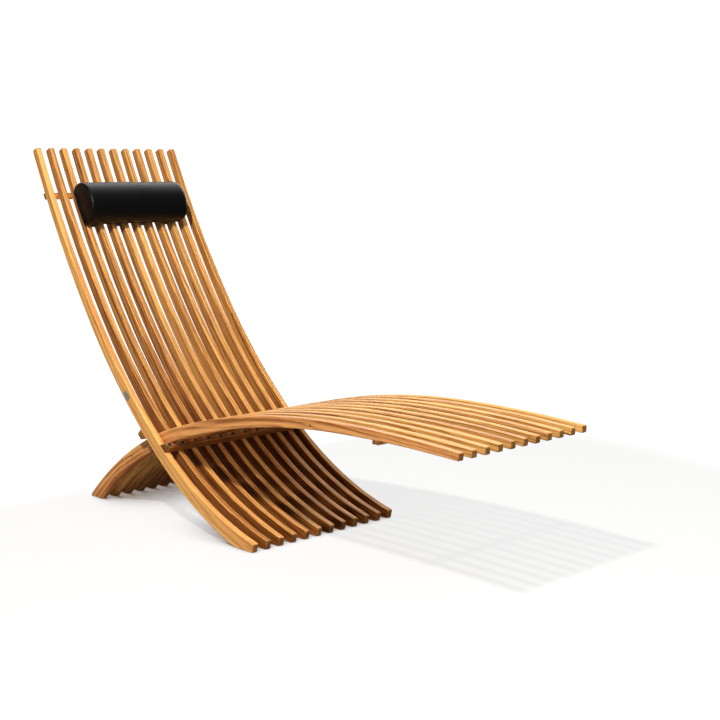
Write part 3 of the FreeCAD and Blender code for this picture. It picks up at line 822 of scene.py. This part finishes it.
def strap(name, y, finish):
    route = rounded(strap_route(), CORNER_RADIUS)
    bm = bmesh.new()
    half = STRAP_WIDTH / 2.0
    first = [bm.verts.new(route[0] + Vector((0.0, y - half + STRAP_WIDTH * k / STRAP_COLUMNS, 0.0)))
             for k in range(STRAP_COLUMNS + 1)]
    edges = [bm.edges.new(pair) for pair in zip(first, first[1:])]
    uv = bm.loops.layers.uv.new("webbing")
    lengths = [0.0]
    for before, after in zip(route, route[1:]):
        made = bmesh.ops.extrude_edge_only(bm, edges=edges)["geom"]
        fresh = [part for part in made if isinstance(part, bmesh.types.BMVert)]
        edges = [part for part in made if isinstance(part, bmesh.types.BMEdge)]
        bmesh.ops.translate(bm, verts=fresh, vec=after - before)
        lengths.append(lengths[-1] + (after - before).length)
    for face in bm.faces:
        for loop in face.loops:
            at = loop.vert.co
            nearest = min(range(len(route)), key=lambda k: (
                Vector((route[k].x, at.y, route[k].z)) - at).length)
            loop[uv].uv = (lengths[nearest], at.y - y)
    made = mesh_object(name, bm, finish)
    thick = made.modifiers.new("thickness", "SOLIDIFY")
    thick.thickness = STRAP_THICKNESS * 0.9
    thick.offset = 0.0
    edge = made.modifiers.new("edge", "BEVEL")
    edge.width = 0.0005
    edge.segments = 2
    edge.limit_method = "ANGLE"
    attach(made, "back_frame")
    return made


grey_webbing = webbing("grey_webbing")
for count, gap in enumerate(STRAP_GAPS):
    y = (gap - 1 - (SEAT_SLATS - 1) / 2.0) * SLAT_PITCH
    piece = strap("neck_strap_web_%d" % (count + 1), y, grey_webbing)
    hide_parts("neck_strap_%d" % (count + 1))


# Studio: pale floor, a small key lamp on the near side, a broad lamp above the foot end, and
# white surroundings

WHITE = (1.0, 1.0, 1.0, 1.0)
WHITE_STRENGTH = 1.2
FLOOR_GREY = 0.32
FLOOR_GLOW = 0.77
FLOOR_GAIN = 0.18
FLOOR_SHINE = 0.05
PAINTED_CONTACT_SHADOW_REACH = 0.2
PAINTED_CONTACT_SHADOW_COLOR = srgb(116, 90, 70)
WHITE_FROM = 1.45
WHITE_TO = 1.9
WHITE_BEHIND = (-0.62, -0.9)


def floor():
    """Pale floor. The camera sees it brighter than it lights the wood, with a painted brown contact
    shadow where the wood is close, and plain white far out and behind."""
    bm = bmesh.new()
    bmesh.ops.create_grid(bm, x_segments=1, y_segments=1, size=30.0)
    made, tree, shader, place = material("studio_floor")
    shader.inputs["Base Color"].default_value = (FLOOR_GREY, FLOOR_GREY, FLOOR_GREY, 1.0)
    shader.inputs["Roughness"].default_value = 0.9
    shader.inputs["Specular IOR Level"].default_value = 0.1
    path = put(tree, "ShaderNodeLightPath").outputs
    lit = put(tree, "ShaderNodeBsdfDiffuse", {"Color": (FLOOR_GAIN, FLOOR_GAIN, FLOOR_GAIN, 1.0)})
    # Painted shadow: darker and browner where the wood is close
    contact_shadow = put(tree, "ShaderNodeAmbientOcclusion", {"Distance": PAINTED_CONTACT_SHADOW_REACH},
                  samples=16).outputs["AO"]
    tint = blend_color(tree, remap(tree, contact_shadow, 0.1, 0.85), PAINTED_CONTACT_SHADOW_COLOR, WHITE)
    glow = put(tree, "ShaderNodeEmission", {"Color": tint, "Strength": FLOOR_GLOW})
    seen = put(tree, "ShaderNodeAddShader", {0: lit.outputs[0], 1: glow.outputs[0]})
    far = remap(tree, vector_calc(tree, "LENGTH", place, output=1), WHITE_FROM, WHITE_TO)
    behind = remap(tree, separate(tree, place)[0], WHITE_BEHIND[1], WHITE_BEHIND[0], 1.0, 0.0)
    white = put(tree, "ShaderNodeEmission", {"Color": WHITE, "Strength": WHITE_STRENGTH})
    shown = put(tree, "ShaderNodeMixShader", {0: calc(tree, "MAXIMUM", far, behind),
                                              1: seen.outputs[0], 2: white.outputs[0]})
    shine = put(tree, "ShaderNodeEmission", {"Color": WHITE, "Strength": FLOOR_SHINE})
    bounced = put(tree, "ShaderNodeMixShader", {0: path["Is Glossy Ray"], 1: shader.outputs[0],
                                                2: shine.outputs[0]})
    both = put(tree, "ShaderNodeMixShader", {0: path["Is Camera Ray"], 1: bounced.outputs[0],
                                             2: shown.outputs[0]})
    tree.links.new(both.outputs[0], tree.nodes["Material Output"].inputs["Surface"])
    plane = mesh_object("studio_floor", bm, made, smooth=False)


KEY_PLACE = (0.916, -1.544, 2.311)
KEY_RADIUS = 0.09
KEY_POWER = 42.0
KEY_COLOR = (1.0, 0.97, 0.93)
BROAD_PLACE = (1.9, 0.2, 2.4)
BROAD_AIM = (0.0, 0.0, 0.5)
BROAD_SIZE = 2.2
BROAD_POWER = 34.0
AMBIENT = 0.14
BACK_SHINE = 2.5
FRONT_SHINE = 0.02
SHINE_FROM = (-0.66, 0.64, 0.38)
SHINE_SPREAD = (0.42, 0.98)


def place_lamp(name, kind, where):
    lamp = bpy.data.lights.new(name, kind)
    placed = bpy.data.objects.new(name, lamp)
    placed.location = where
    bpy.context.scene.collection.objects.link(placed)
    return lamp, placed


def lights():
    lamp, placed = place_lamp("key_lamp", "POINT", KEY_PLACE)
    lamp.shadow_soft_size = KEY_RADIUS
    lamp.energy = 1.0
    lamp.color = KEY_COLOR
    lamp.use_nodes = True
    tree = lamp.node_tree
    even = put(tree, "ShaderNodeLightFalloff", {"Strength": KEY_POWER}).outputs["Constant"]
    tree.links.new(even, tree.nodes["Emission"].inputs["Strength"])
    lamp, placed = place_lamp("broad_lamp", "AREA", BROAD_PLACE)
    lamp.size = BROAD_SIZE
    lamp.energy = BROAD_POWER
    aim = Vector(BROAD_AIM) - Vector(BROAD_PLACE)
    placed.rotation_euler = aim.to_track_quat("-Z", "Y").to_euler()
    placed.visible_camera = False
    placed.visible_glossy = False


def surroundings():
    """White to the camera. Gloss sees white beyond the lounger and little in front of it."""
    world = bpy.data.worlds.new("studio")
    world.use_nodes = True
    tree = world.node_tree
    ray = put(tree, "ShaderNodeTexCoord").outputs["Generated"]
    path = put(tree, "ShaderNodeLightPath").outputs
    beyond = vector_calc(tree, "DOT_PRODUCT", ray, SHINE_FROM, output=1)
    shine = remap(tree, beyond, *SHINE_SPREAD, FRONT_SHINE, BACK_SHINE)
    strength = blend_float(tree, path["Is Glossy Ray"], AMBIENT, shine)
    strength = blend_float(tree, path["Is Camera Ray"], strength, WHITE_STRENGTH)
    background = tree.nodes["Background"]
    background.inputs["Color"].default_value = WHITE
    tree.links.new(strength, background.inputs["Strength"])
    bpy.context.scene.world = world


CAMERA_PLACE = (2.7542, -2.3539, 1.0114)
CAMERA_TURN = math.radians(46.088)
CAMERA_DOWN = math.radians(8.615)
CAMERA_ROLL = math.radians(0.212)
CAMERA_LENS = 65.905
CAMERA_SENSOR = 36.0


def camera():
    data = bpy.data.cameras.new("camera")
    data.lens = CAMERA_LENS
    data.sensor_width = CAMERA_SENSOR
    placed = bpy.data.objects.new("camera", data)
    aim = (Matrix.Rotation(CAMERA_TURN, 4, "Z")
           @ Matrix.Rotation(math.pi / 2.0 - CAMERA_DOWN, 4, "X")
           @ Matrix.Rotation(CAMERA_ROLL, 4, "Z"))
    placed.matrix_world = Matrix.Translation(CAMERA_PLACE) @ aim
    bpy.context.scene.collection.objects.link(placed)
    bpy.context.scene.camera = placed


floor()
lights()
surroundings()
camera()
bpy.context.scene.view_settings.view_transform = "Standard"
